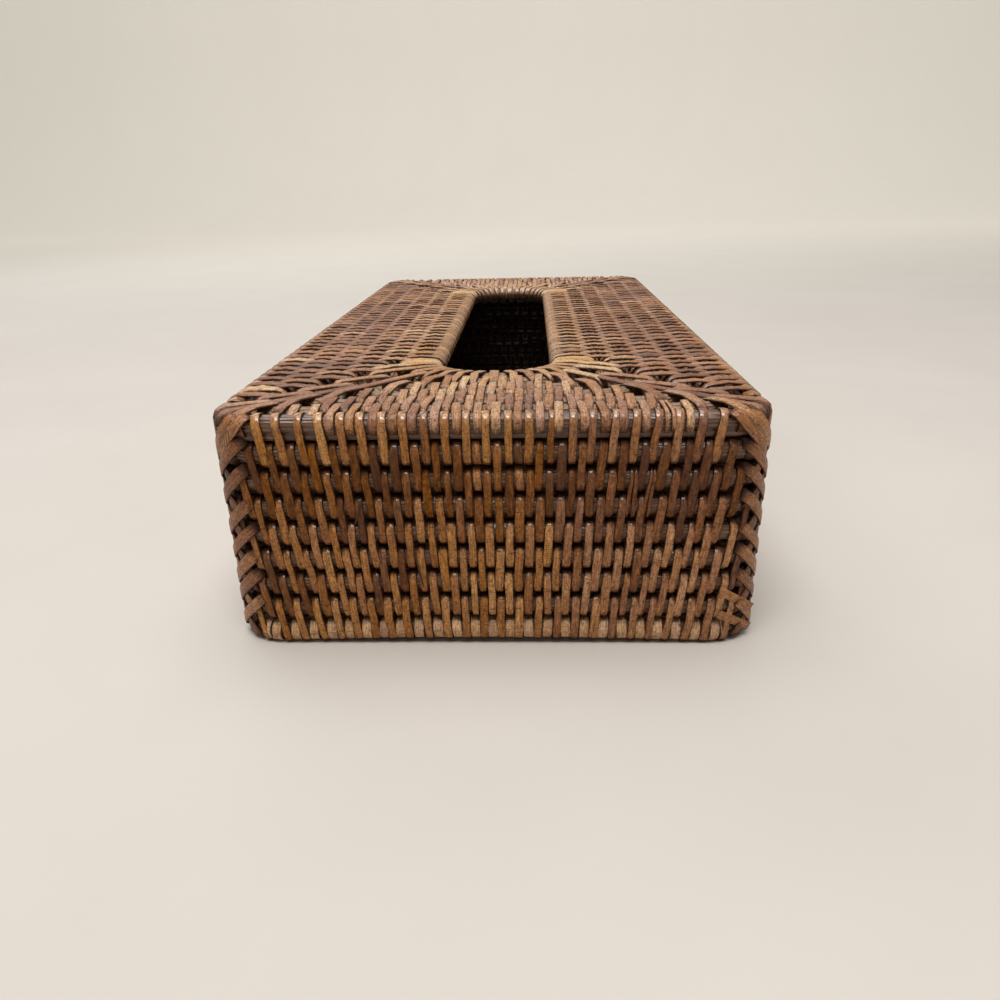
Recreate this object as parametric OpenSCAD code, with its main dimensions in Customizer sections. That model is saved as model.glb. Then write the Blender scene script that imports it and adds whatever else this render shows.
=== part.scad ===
// Woven cover for a flat tissue box: rods laid one over another and lashed
// together with flat cane strips. Open underneath, with a long slot in the top.
// Width runs along X, length along Y, and the bottom edge rests on Z = 0.

/* [Cover] */

// Length of the whole cover, over the lashing
cover_length = 290; // [220:1:380]

// Width of the whole cover, over the lashing
cover_width = 145; // [125:1:220]

// Radius of the upright corners, over the lashing
corner_radius = 14; // [12:0.5:24]

/* [Slot] */

// Length of the slot in the top
slot_length = 189; // [120:1:189]

// Width of the slot in the top
slot_width = 34; // [30:1:40]

// Radius at the four corners of the slot
slot_corner_radius = 14.5; // [8:0.5:15]

/* [Rods] */

// Thickness of one rod
rod_diameter = 5.6; // [4:0.1:5.6]

// Free height between two rods of the wall, enough for two strips to pass
rod_gap = 1.8; // [1.6:0.1:2.5]

/* [Lashing] */

// Width of a cane strip
strip_width = 2.3; // [1.5:0.1:2.5]

// Thickness of a cane strip
strip_thickness = 0.6; // [0.4:0.05:0.6]

// Distance from strip to strip along the two ends
end_stitch_pitch = 5.8; // [5.6:0.1:9]

// Distance from strip to strip along the two sides
side_stitch_pitch = 6.3; // [5.6:0.1:9]

// Lean of the strips nearest to the corners, in degrees
strip_lean = 4; // [0:0.5:4]

// Width of the strips that open like a fan round the ends of the slot
fan_strip_width = 1.9; // [1.2:0.1:2]

// Depth of the flat that standing has pressed under the corners
foot_flat = 0.15; // [0.05:0.05:0.3]

// How much higher the bottom edge lies between its corners
edge_lift = 0.1; // [0.05:0.05:0.5]

/* [Fit] */

// Free distance between a strip and the rods it holds
strip_clearance = 0.1; // [0.08:0.01:0.12]

// Free distance between a strip and a rod that it crosses aslant
slant_clearance = 0.3; // [0.1:0.05:0.3]

// Free distance between a strip and a rod that bends under it
bend_clearance = 0.15; // [0.1:0.05:0.3]

/* [Hidden] */

rod_radius = rod_diameter / 2;
lip = rod_radius + strip_clearance + strip_thickness;
wall_pitch = rod_diameter + rod_gap;
wall_rods = 9;
base_level = lip - foot_flat;
top_level = base_level + (wall_rods - 1) * wall_pitch;

// The seven rods of the top, from the slot rim (0) to the shoulder (6).
panel_steps = 6;
rim_x = slot_width / 2 + lip;
rim_y = slot_length / 2 + lip;
wall_x = cover_width / 2 - lip;
wall_y = cover_length / 2 - lip;
side_pitch = hundredths((wall_x - rim_x) / panel_steps);
end_pitch = hundredths((wall_y - rim_y) / panel_steps);
rim_bend = slot_corner_radius + lip;
wall_bend = corner_radius - lip;

// Between rim and wall the bends ease from one to the other, ring by ring.
ring_2_ease = 5;
ring_3_ease = 8;
ring_4_ease = 3;
bends = [rim_bend, rim_bend + end_pitch, rim_bend + ring_2_ease,
         wall_bend + ring_3_ease, wall_bend + ring_4_ease, wall_bend, wall_bend];

function hundredths(value) = floor(value * 100) / 100;
function ring_x(k) = wall_x - (panel_steps - k) * side_pitch;
function ring_y(k) = wall_y - (panel_steps - k) * end_pitch;
function straight_x(k) = ring_x(k) - bends[k];
function straight_y(k) = ring_y(k) - bends[k];

// The middle of ring k, at an angle round its corner.
function on_bend(k, angle) = [straight_x(k) + bends[k] * cos(angle),
                              straight_y(k) + bends[k] * sin(angle)];

// How far a bend has drawn back from its straight line, a distance past its start.
function sag(past, bend) = past <= 0 ? 0 : bend - sqrt(pow(bend, 2) - pow(past, 2));

// The middle of ring k where it crosses one end, and one side.
function on_end(k, x) = [x, ring_y(k) - sag(abs(x) - straight_x(k), bends[k])];
function on_side(k, y) = [ring_x(k) - sag(abs(y) - straight_y(k), bends[k]), y];

// Half of the sideways swing that turns a strip square to a rod already bending.
function swing(past, bend, pitch) = past <= 0 ? 0 : pitch / 2 * tan(asin(past / bend) / 2);

// A strip may cross a rod aslant by this angle, so it can stand on a bend's start.
// Beside the slot the fan begins where the bend does.
slant_limit = 21;
function reach(k, straight) = k == 0 ? straight : straight + bends[k] * sin(slant_limit);

// Corner strips of each row of the top: the angle round the corner at which each
// leaves its inner rod, and the one at which it meets its outer rod squarely.
fans = [[[7, 7], [22.5, 22.5], [37.5, 37.5], [52.5, 52.5], [67, 67], [84, 84]],
        [[16.5, 5], [30, 20], [45, 47], [60, 73.5]],
        [[33, 19], [60, 83]],
        [[36, 18], [51, 71]],
        [[35, 10], [50, 75]],
        [[33, 14.5], [50, 67]]];

rod_facets = 32;
bend_facets = 96;
cane = [0.72, 0.47, 0.24];
pale_cane = [0.8, 0.6, 0.38];
dark_reed = [0.3, 0.19, 0.12];

// A rod bent into a rounded rectangle; its middle line is at half_x and half_y.
module rod_ring(half_x, half_y, bend) {
  run_x = half_x - bend;
  run_y = half_y - bend;
  for (side = [0, 1]) mirror([side, 0, 0])
    translate([half_x, run_y, 0]) rotate([90, 0, 0])
      cylinder(h = 2 * run_y, d = rod_diameter, $fn = rod_facets);
  for (side = [0, 1]) mirror([0, side, 0])
    translate([-run_x, half_y, 0]) rotate([0, 90, 0])
      cylinder(h = 2 * run_x, d = rod_diameter, $fn = rod_facets);
  for (side_x = [0, 1], side_y = [0, 1]) mirror([side_x, 0, 0]) mirror([0, side_y, 0])
    translate([run_x, run_y, 0])
      rotate_extrude(angle = 90, $fn = bend_facets)
        translate([bend, 0]) circle(d = rod_diameter, $fn = rod_facets);
}

module panel_rod(k) {
  color(dark_reed) translate([0, 0, top_level])
    rod_ring(ring_x(k), ring_y(k), bends[k]);
}

module wall_rod(k) {
  color(dark_reed) translate([0, 0, top_level - k * wall_pitch])
    rod_ring(wall_x, wall_y, wall_bend);
}

// Outline round two rods that lie a span apart along Y.
module outline(span, radius) {
  for (end = [-span / 2, span / 2]) translate([0, end])
    circle(r = radius, $fn = rod_facets);
  square([2 * radius, span], center = true);
}

// One strip lashed round two rods, which run along X, a span apart along Y. A
// sole presses it flat, at that distance below the middle of its lower rod.
module lash(span, width = strip_width, clearance = strip_clearance, sole = 0) {
  hold = rod_radius + clearance;
  outer = hold + strip_thickness;
  rotate([0, -90, 0]) linear_extrude(width, center = true)
    difference() {
      outline(span, outer);
      outline(span, hold);
      if (sole > 0)
        translate([-outer, -span / 2 - sole - outer]) square([2 * outer, outer]);
    }
}

// A short strip round a single rod that runs along X.
module wrap(clearance = strip_clearance, sole = 0) {
  hold = rod_radius + clearance;
  outer = hold + strip_thickness;
  rotate([0, -90, 0]) linear_extrude(strip_width, center = true)
    difference() {
      circle(r = outer, $fn = rod_facets);
      circle(r = hold, $fn = rod_facets);
      if (sole > 0)
        translate([-outer, -sole - outer]) square([2 * outer, outer]);
    }
}

// One strip of the top, from a point on its inner rod to one on its outer rod.
module bridge(from, to, slanting) {
  step = to - from;
  translate([(from.x + to.x) / 2, (from.y + to.y) / 2, top_level])
    rotate([0, 0, atan2(step.y, step.x) - 90])
      lash(norm(step), width = slanting ? fan_strip_width : strip_width,
           clearance = slanting ? slant_clearance : strip_clearance);
}

// Strips of the top that join ring k to ring k + 1, across both ends.
module end_stitches(k) {
  half_steps = k % 2;
  last = min(reach(k, straight_x(k)), reach(k + 1, straight_x(k + 1)));
  count = floor(last / end_stitch_pitch + half_steps / 2);
  for (side = [0, 1], i = [-count:count])
    let (x = (i + half_steps / 2) * end_stitch_pitch,
         past = abs(x) - straight_x(k),
         swing = sign(x) * swing(past, bends[k], end_pitch))
      if (abs(x) <= last)
        mirror([0, side, 0])
          bridge(on_end(k, x - swing), on_end(k + 1, x + swing), past > 0);
}

// The same across both sides.
module side_stitches(k) {
  half_steps = k % 2;
  last = min(k == 1 ? straight_y(k) : reach(k, straight_y(k)),
             reach(k + 1, straight_y(k + 1)));
  count = floor(last / side_stitch_pitch + half_steps / 2);
  for (side = [0, 1], i = [-count:count])
    let (y = (i + half_steps / 2) * side_stitch_pitch,
         past = abs(y) - straight_y(k),
         swing = sign(y) * swing(past, bends[k], side_pitch))
      if (abs(y) <= last)
        mirror([side, 0, 0])
          bridge(on_side(k, y - swing), on_side(k + 1, y + swing), past > 0);
}

// Strips that fan out from the bend of ring k to the bend of ring k + 1.
module fan_stitches(k) {
  for (side_x = [0, 1], side_y = [0, 1], fan = fans[k])
    mirror([side_x, 0, 0]) mirror([0, side_y, 0])
      bridge(on_bend(k, fan[0]), on_bend(k + 1, fan[1]), true);
}

module panel_lashing(k) {
  color(cane) {
    end_stitches(k);
    side_stitches(k);
    fan_stitches(k);
  }
}

// The rim's own row: fanned round both ends of the slot, close along its sides.
module opening_rim_lashing() {
  color(pale_cane) {
    side_stitches(0);
    fan_stitches(0);
    for (side = [0, 1]) mirror([0, side, 0])
      bridge(on_end(0, 0), on_end(1, 0), true);
  }
}

// Short strips that fill the rim between the long ones.
module opening_rim_wraps() {
  count = floor(straight_y(0) / side_stitch_pitch);
  color(pale_cane) for (side = [0, 1], i = [-count:count - 1])
    mirror([side, 0, 0])
      translate([ring_x(0), (i + 0.5) * side_stitch_pitch, top_level])
        rotate([0, 0, 90]) wrap();
}

// Row k of the wall joins rod k - 1 to rod k. Rows lie half a step apart.
module wall_row(k) {
  sole = k == wall_rods - 1 ? base_level - edge_lift : 0;
  lean = sole > 0 ? 0 : strip_lean;
  middle = top_level - (k - 0.5) * wall_pitch;
  half_steps = (k + 1) % 2;
  run_x = wall_x - wall_bend;
  run_y = wall_y - wall_bend;
  count_x = floor(run_x / end_stitch_pitch + half_steps / 2);
  count_y = floor(run_y / side_stitch_pitch + half_steps / 2);
  color(cane) {
    for (side = [0, 1], i = [-count_x:count_x])
      let (x = (i + half_steps / 2) * end_stitch_pitch)
        if (abs(x) <= run_x)
          rotate([0, 0, side * 180]) translate([x, -wall_y, middle])
            rotate([0, lean * x / run_x, 0])
              rotate([90, 0, 0]) lash(wall_pitch, sole = sole);
    for (side = [0, 1], i = [-count_y:count_y])
      let (y = (i + half_steps / 2) * side_stitch_pitch)
        if (abs(y) <= run_y)
          rotate([0, 0, side * 180]) translate([wall_x, y, middle])
            rotate([-lean * y / run_y, 0, 0])
              rotate([90, 0, 90]) lash(wall_pitch, sole = sole);
  }
}

// Short strips round the base rod alone, half a step from the row above.
module base_wraps() {
  half_steps = (wall_rods - 1) % 2;
  run_x = wall_x - wall_bend;
  run_y = wall_y - wall_bend;
  count_x = floor(run_x / end_stitch_pitch + half_steps / 2);
  count_y = floor(run_y / side_stitch_pitch + half_steps / 2);
  color(pale_cane) {
    for (side = [0, 1], i = [-count_x:count_x])
      let (x = (i + half_steps / 2) * end_stitch_pitch)
        if (abs(x) <= run_x)
          rotate([0, 0, side * 180]) translate([x, -wall_y, base_level])
            rotate([90, 0, 0]) wrap(sole = base_level - edge_lift);
    for (side = [0, 1], i = [-count_y:count_y])
      let (y = (i + half_steps / 2) * side_stitch_pitch)
        if (abs(y) <= run_y)
          rotate([0, 0, side * 180]) translate([wall_x, y, base_level])
            rotate([90, 0, 90]) wrap(sole = base_level - edge_lift);
  }
}

// Short strips round the base rod's corners, lowest of all: the cover stands on them.
foot_angles = [20, 45, 70];
module foot_wraps() {
  color(pale_cane)
    for (side_x = [0, 1], side_y = [0, 1], angle = foot_angles)
      mirror([side_x, 0, 0]) mirror([0, side_y, 0])
        translate([wall_x - wall_bend, wall_y - wall_bend, base_level])
          rotate([0, 0, angle]) translate([wall_bend, 0, 0])
            rotate([90, 0, 90]) wrap(clearance = bend_clearance, sole = base_level);
}

// Strips bound aslant round one upright corner. Each crosses one rod, from the
// gap above it on the end to the gap below it on the side.
bind_angle = 82;
bind_radius = corner_radius - strip_thickness + strip_clearance;
bind_slope = asin(wall_pitch / 2 / (bind_radius * sin(bind_angle / 2)));
module corner_lashing(side_x, side_y) {
  color(cane) mirror([side_x, 0, 0]) mirror([0, side_y, 0])
    translate([wall_x - wall_bend, wall_y - wall_bend, 0])
      for (k = [1:wall_rods - 2])
        translate([0, 0, top_level - k * wall_pitch])
          rotate([0, 0, 45]) rotate([bind_slope, 0, 0])
            rotate([0, 0, -bind_angle / 2])
              rotate_extrude(angle = bind_angle, $fn = bend_facets)
                translate([bind_radius, -strip_width / 2])
                  square([strip_thickness, strip_width]);
}

panel_rod(0);  // opening_rim_rod
panel_rod(1);  // top_rod_1
panel_rod(2);  // top_rod_2
panel_rod(3);  // top_rod_3
panel_rod(4);  // top_rod_4
panel_rod(5);  // top_rod_5
wall_rod(0);  // shoulder_rod
wall_rod(1);  // wall_rod_1
wall_rod(2);  // wall_rod_2
wall_rod(3);  // wall_rod_3
wall_rod(4);  // wall_rod_4
wall_rod(5);  // wall_rod_5
wall_rod(6);  // wall_rod_6
wall_rod(7);  // wall_rod_7
wall_rod(8);  // base_rod
opening_rim_lashing();
opening_rim_wraps();
panel_lashing(1);  // top_lashing_1
panel_lashing(2);  // top_lashing_2
panel_lashing(3);  // top_lashing_3
panel_lashing(4);  // top_lashing_4
panel_lashing(5);  // top_lashing_5
wall_row(1);  // wall_lashing_1
wall_row(2);  // wall_lashing_2
wall_row(3);  // wall_lashing_3
wall_row(4);  // wall_lashing_4
wall_row(5);  // wall_lashing_5
wall_row(6);  // wall_lashing_6
wall_row(7);  // wall_lashing_7
wall_row(8);  // wall_lashing_8
base_wraps();
foot_wraps();
corner_lashing(1, 1);  // corner_lashing_front_left
corner_lashing(0, 1);  // corner_lashing_front_right
corner_lashing(1, 0);  // corner_lashing_back_left
corner_lashing(0, 0);  // corner_lashing_back_right
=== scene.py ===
# %% [markdown]
# # A woven cover for a box of tissues
# The real cover is made of fifteen round rods, laid one over another and side by
# side, and nearly two thousand short strips of cane that lash each rod to the
# next. The frame holds all of them as plain solids. Here each rod becomes a bundle
# of reeds, and each strip gets a width, lean, colour and wear of its own.

# %% Load the frame
import math

import bmesh
import bpy
import numpy as np
from mathutils import Matrix, Vector


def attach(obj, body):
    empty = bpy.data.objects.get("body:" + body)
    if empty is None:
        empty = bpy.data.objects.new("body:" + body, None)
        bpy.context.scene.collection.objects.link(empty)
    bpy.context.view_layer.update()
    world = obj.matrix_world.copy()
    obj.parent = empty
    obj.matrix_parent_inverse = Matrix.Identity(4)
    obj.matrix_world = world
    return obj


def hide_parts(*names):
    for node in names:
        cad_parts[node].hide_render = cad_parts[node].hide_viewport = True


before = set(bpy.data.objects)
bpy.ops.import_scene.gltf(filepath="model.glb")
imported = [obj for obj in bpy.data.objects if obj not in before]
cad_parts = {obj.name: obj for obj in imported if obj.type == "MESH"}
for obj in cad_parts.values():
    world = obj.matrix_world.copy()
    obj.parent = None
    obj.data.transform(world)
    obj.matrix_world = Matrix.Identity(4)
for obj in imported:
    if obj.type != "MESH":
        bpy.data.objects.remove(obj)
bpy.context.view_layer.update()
rng = np.random.default_rng(57)

# %% [markdown]
# ## Sizes
# All lengths here are in millimetres, and meshes are scaled to metres at the end.
# The seven rods of the top are rings, counted from the slot (0) to the shoulder
# (6). Nine rods, counted from the shoulder down, make the wall.

# %% Sizes
MM = 0.001
UP = np.array([0.0, 0.0, 1.0])
ROD = 2.8  # a rod's radius
GRIP = 3.12  # from a rod's middle to the middle of the strip round it
STRIP_THICKNESS = 0.58
END_WIDTH, SIDE_WIDTH = 2.15, 2.95  # strips on the end walls and the side walls
END_PITCH, SIDE_PITCH = 5.26, 6.3  # from one strip of a row to the next
PITCH, WALL_RODS = 7.4, 9  # from rod to rod down the wall
WALL_X, WALL_Y, WALL_BEND = 69.0, 141.5, 10.5  # half sizes and bend of a wall rod
RUN_X, RUN_Y = WALL_X - WALL_BEND, WALL_Y - WALL_BEND  # where its straight runs end
BASE = 3.35  # height of the base rod's middle
TOP = BASE + (WALL_RODS - 1) * PITCH
SHOULDER = 6
SIDE_STEP, END_STEP = 8.08, 7.25  # from ring to ring, sideways and endways
BENDS = [18.0, 25.25, 23.0, 18.5, 13.5, 10.5, 10.5]


def ring_half(k):
    """Half the width and half the length of ring k, at the rod's middle."""
    return WALL_X - (SHOULDER - k) * SIDE_STEP, WALL_Y - (SHOULDER - k) * END_STEP


def ring_run(k):
    """Where ring k's straight runs end, in x and in y."""
    half_x, half_y = ring_half(k)
    return half_x - BENDS[k], half_y - BENDS[k]


print("The top lies at", TOP, "mm; the slot's rim at", ring_half(0))

# %% [markdown]
# ## Camera and light
# The camera stands where the photograph was taken from: in front of one short
# end, a little above the top, tipped down by 22 degrees. A broad lamp overhead
# gives most of the light. A smaller one behind, on the left, stands for the window
# that draws the highlights on the cane's bends, and one above the camera fills the
# front.

# %% Camera
TIPPED, TURNED, ROLLED = 0.388425, -0.044024, -0.023258
EYE = (0.01096, -0.32918, 0.11865)
SENSOR, LENS_SHARE, NEAREST = 36, 0.78, 0.01
forward = Vector((math.sin(TURNED) * math.cos(TIPPED),
                  math.cos(TURNED) * math.cos(TIPPED), -math.sin(TIPPED)))
level = Vector((math.cos(TURNED), -math.sin(TURNED), 0))
upward = level.cross(forward)
right = math.cos(ROLLED) * level + math.sin(ROLLED) * upward
above = -math.sin(ROLLED) * level + math.cos(ROLLED) * upward
camera = bpy.data.objects.new("camera", bpy.data.cameras.new("camera"))
camera.data.sensor_width = SENSOR
camera.data.lens = SENSOR * LENS_SHARE
camera.data.clip_start = NEAREST
turn = Matrix((right, above, -forward)).transposed()
camera.matrix_world = Matrix.LocRotScale(Vector(EYE), turn, None)
bpy.context.collection.objects.link(camera)
bpy.context.scene.camera = camera
bpy.context.scene.view_settings.view_transform = "Standard"
print("Camera at", EYE)


# %% Light
def area_light(name, size, power, place, target, colour):
    data = bpy.data.lights.new(name, "AREA")
    data.shape = "RECTANGLE"
    data.size, data.size_y = size
    data.energy = power
    data.color = colour
    lamp = bpy.data.objects.new(name, data)
    lamp.location = place
    lamp.rotation_euler = (
        Vector(target) - Vector(place)).to_track_quat("-Z", "Y").to_euler()
    bpy.context.collection.objects.link(lamp)


WARM, COOL = (1.0, 0.98, 0.95), (0.93, 0.96, 1.0)
area_light("ceiling", (2.0, 1.6), 32, (-0.1, 0.15, 2.2), (0, 0, 0), WARM)
area_light("window", (0.9, 0.5), 3.3, (-0.7, 0.9, 0.9), (0, 0, 0.03), COOL)
area_light("front", (0.8, 0.35), 7.5, (-0.05, -0.5, 1.15), (0, -0.05, 0.03), WARM)
print("Lamps:", len(bpy.data.lights))

# %% [markdown]
# ## Writing materials as sums
# A shader's node tree is a formula. `Value` wraps one socket and lets Python write
# that formula: `1 - mask * 0.5` adds the Math nodes by itself. `Finish` is one
# material, and its `node` adds any node that isn't plain arithmetic.


# %% Values
class Value:
    """One output of a node. Arithmetic on it adds Math nodes."""

    def __init__(self, socket):
        self.socket = socket

    def math(self, operation, first, second):
        node = self.socket.id_data.nodes.new("ShaderNodeMath")
        node.operation = operation
        for place, value in zip(node.inputs, (first, second)):
            feed(place, value)
        return Value(node.outputs[0])

    def __add__(self, other):
        return self.math("ADD", self, other)

    def __sub__(self, other):
        return self.math("SUBTRACT", self, other)

    def __rsub__(self, other):
        return self.math("SUBTRACT", other, self)

    def __mul__(self, other):
        return self.math("MULTIPLY", self, other)

    __radd__, __rmul__ = __add__, __mul__


def feed(place, value):
    """Links a value to a socket, or writes a number or colour into it."""
    if isinstance(value, Value):
        place.id_data.links.new(value.socket, place)
    else:
        place.default_value = value


print("Values add and multiply as nodes")

# %% Finishes
SHINE = 0.12
VARNISH_IOR, VARNISH_ROUGHNESS = 1.8, 0.13
SHARE, FIRST, SECOND, MIXED = 0, 6, 7, 2  # a Mix node's sockets for colours


class Finish:
    """A material, built node by node."""

    def __init__(self, name):
        self.material = bpy.data.materials.new(name)
        self.material.use_nodes = True
        self.tree = self.material.node_tree
        self.shader = self.tree.nodes["Principled BSDF"]

    def node(self, kind, settings=None, inputs=None, output=0):
        node = self.tree.nodes.new("ShaderNode" + kind)
        for name, value in (settings or {}).items():
            if name == "stops":
                ramp = node.color_ramp
                while len(ramp.elements) < len(value):
                    ramp.elements.new(0.5)
                for element, (place, colour) in zip(ramp.elements, value):
                    element.position = place
                    element.color = (*colour, 1)
            else:
                setattr(node, name, value)
        for name, value in (inputs or {}).items():
            feed(node.inputs[name], value)
        if isinstance(output, tuple):
            return [Value(node.outputs[name]) for name in output]
        return Value(node.outputs[output])

    def marks(self):
        """What a woven piece's mesh carries: its UV place in millimetres, then tone,
        hue, depth and polish."""
        mark, polish = self.node("Attribute", {"attribute_name": "strip"}, None,
                                 ("Color", "Alpha"))
        tone, hue, deep = self.node("SeparateColor", None, {"Color": mark},
                                    ("Red", "Green", "Blue"))
        return self.node("UVMap", {"uv_map": "strip_mm"}), tone, hue, deep, polish

    def noise(self, place, along, across, detail=3.0, rough=0.6):
        """Noise on `place`, stretched; a small number makes long streaks."""
        scaled = self.node("Mapping",
                           inputs={"Vector": place, "Scale": (along, across, 1)})
        return self.node("TexNoise", inputs={"Vector": scaled, "Scale": 1.0,
                                             "Detail": detail, "Roughness": rough})

    def band(self, value, low, high):
        """0 below `low`, 1 above `high`, smooth between."""
        return self.node("MapRange", {"interpolation_type": "SMOOTHSTEP"},
                         {"Value": value, "From Min": low, "From Max": high}, "Result")

    def ramp(self, value, stops):
        return self.node("ValToRGB", {"stops": stops}, {"Fac": value})

    def mix(self, share, first, second):
        return self.node("Mix", {"data_type": "RGBA"},
                         {SHARE: share, FIRST: first, SECOND: second}, MIXED)

    def finish(self, colour, roughness, height, strength, distance, coat=None):
        """Feeds the shader. `height` makes the bump, `distance` metres deep."""
        feed(self.shader.inputs["Base Color"], colour)
        feed(self.shader.inputs["Roughness"], roughness)
        feed(self.shader.inputs["Specular IOR Level"], SHINE)
        if coat is not None:
            feed(self.shader.inputs["Coat Weight"], coat)
            feed(self.shader.inputs["Coat Roughness"], VARNISH_ROUGHNESS)
            feed(self.shader.inputs["Coat IOR"], VARNISH_IOR)
        bump = self.node("Bump", None, {"Height": height, "Strength": strength,
                                        "Distance": distance})
        feed(self.shader.inputs["Normal"], bump)
        return self.material


print("Finishes are ready")

# %% [markdown]
# ## Cane
# Cane is the shiny skin of the rattan vine, split into flat strips. It shows long
# fine grain, dark specks, short cracks across, and old varnish. Each strip was cut
# from another vine, so tone and hue change from strip to strip: the mesh carries
# them in an attribute, with how deep each point lies in the weave, where grime has
# gathered and a painted shade falls. The UV map runs along each strip in millimetres.

# %% Cane
# What the weave's depths turn to: grime, with a painted shade where strips turn in
# between the rods.
SOOT_AND_SHADE = (0.036, 0.010, 0.003, 1)
SPECK = (0.050, 0.018, 0.009, 1)
MOTTLING, GRAIN_CONTRAST, HUE_SWING, RICHNESS_SWING = 0.95, 3.0, 0.008, 0.2
STAIN_AND_SHADE_SHARE = 0.93


def cane(name, tones, gloss, stain_and_shade=1.0, wear=0.6):
    """Cane in these tones, dark to pale. `gloss` is its least roughness, the next share
    how dark grime and painted shade make the depths, and `wear` how strongly specks and
    cracks show."""
    finish = Finish(name)
    place, tone, hue, deep, polish = finish.marks()
    grain = finish.noise(place, 0.16, 3.2, detail=5, rough=0.75)
    mottle = finish.noise(place, 0.4, 0.9, detail=4, rough=0.7)
    spots = finish.noise(place, 0.9, 1.8, detail=4, rough=0.85)
    breaks = finish.noise(place, 2.8, 0.3, detail=3, rough=0.85)
    # Specks and cracks grow thicker deep in the weave, partly as painted shade.
    speck = finish.band(spots + deep * 0.22, 0.525, 0.60)
    crack = finish.band(breaks + deep * 0.05, 0.56, 0.61)
    colour = finish.ramp(tone + (mottle - 0.5) * MOTTLING, tones)
    colour = finish.node("HueSaturation", None, {
        "Color": colour, "Hue": (hue - 0.5) * HUE_SWING + 0.5,
        "Saturation": (hue - 0.5) * RICHNESS_SWING + 0.99,
        "Value": (grain - 0.5) * GRAIN_CONTRAST + 1.10})
    colour = finish.mix(speck * wear, colour, SPECK)
    colour = finish.mix(crack * wear, colour, SPECK)
    # Grime and painted shade: the deeper a point lies in the weave, the nearer it comes
    # to the soot colour.
    stained_and_shaded = finish.band(deep, 0.12, 0.75) * (STAIN_AND_SHADE_SHARE * stain_and_shade)
    colour = finish.mix(stained_and_shaded, colour, SOOT_AND_SHADE)
    roughness = grain * 0.3 + gloss + speck * 0.2 + deep * 0.2
    height = grain * 0.9 + mottle * 0.6 - crack * 0.8 - speck * 0.5
    return finish.finish(colour, roughness, height, strength=0.7, distance=0.00014,
                         coat=(1 - grain * 0.5) * polish)


print("Deep in the weave cane turns to", SOOT_AND_SHADE[:3])

# %% Three kinds of cane
wall_cane = cane("wall_cane", [
    (0.0, (0.085, 0.031, 0.013)), (0.2, (0.140, 0.049, 0.014)),
    (0.4, (0.262, 0.096, 0.026)), (0.6, (0.39, 0.158, 0.047)),
    (0.8, (0.52, 0.240, 0.078)), (1.0, (0.68, 0.37, 0.15))], gloss=0.3)
top_cane = cane("top_cane", [
    (0.0, (0.19, 0.088, 0.054)), (0.3, (0.32, 0.148, 0.080)),
    (0.55, (0.44, 0.217, 0.114)), (0.8, (0.56, 0.315, 0.165)),
    (1.0, (0.72, 0.48, 0.27))], gloss=0.34, stain_and_shade=0.6)
pale_cane = cane("pale_cane", [
    (0.0, (0.26, 0.125, 0.055)), (0.4, (0.40, 0.200, 0.088)),
    (0.75, (0.55, 0.305, 0.145)), (1.0, (0.72, 0.43, 0.22))],
    gloss=0.34, stain_and_shade=0.85, wear=0.5)
print("Cane for the walls, the top and the rim")

# %% [markdown]
# ## Reed
# The rods are dark and fibrous: bundles of thin reeds, stained nearly black. Sine
# waves round the rod draw those reeds, and stretched noise draws their fibres. On
# the top grey dust lies on them, more than on the walls; the mesh says how much,
# in the place of the tone. In the place of the depth it says which side is hidden
# inside the cover, and that side gets a painted shade, nearly black.

# %% Reed
DUST = (0.42, 0.27, 0.18, 1)
# Painted shade: the rods' side inside the cover is coloured nearly black.
INSIDE_SHADE = (0.004, 0.002, 0.001, 1)
REED_STEP, REED_WANDER = 1.0, 5
REED_TONES = [(0.36, (0.050, 0.014, 0.004)), (0.5, (0.090, 0.032, 0.011)),
              (0.62, (0.150, 0.062, 0.023)), (0.78, (0.31, 0.155, 0.070))]


def reed(name):
    finish = Finish(name)
    place, dust, _, hidden, polish = finish.marks()
    round_it = finish.node("SeparateXYZ", None, {"Vector": place}, "Y")
    fibre = finish.noise(place, 0.05, 4.5, detail=5, rough=0.75)
    patch = finish.noise(place, 0.12, 0.3)
    wave = round_it * (2 * math.pi / REED_STEP) + patch * REED_WANDER
    reeds = finish.node("Math", {"operation": "SINE"}, {0: wave})
    colour = finish.ramp(fibre * 1.1 + patch * 0.35 + reeds * 0.06 - 0.16, REED_TONES)
    powder = finish.band(finish.noise(place, 1.3, 1.6, detail=4, rough=0.8), 0.34, 0.5)
    colour = finish.mix(dust * powder, colour, DUST)
    # The hidden side takes the painted shade.
    colour = finish.mix(hidden, colour, INSIDE_SHADE)
    return finish.finish(colour, fibre * 0.4 + dust * 0.25 + 0.15, fibre + reeds * 0.5,
                         strength=0.9, distance=0.00035, coat=(patch + 0.1) * polish)


rod_reed = reed("rod_reed")
print("A reed every", REED_STEP, "mm round a rod")

# %% [markdown]
# ## A closed band
# Strips and rods are alike in one way: each is a band that runs round and comes
# back to its start. A flat grid is rolled until both pairs of its edges meet, the
# doubled vertices are merged, and every vertex and face corner remembers its
# station along the band and its point on the section. To bend the band along any
# path, only the places of its vertices have to change.


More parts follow.
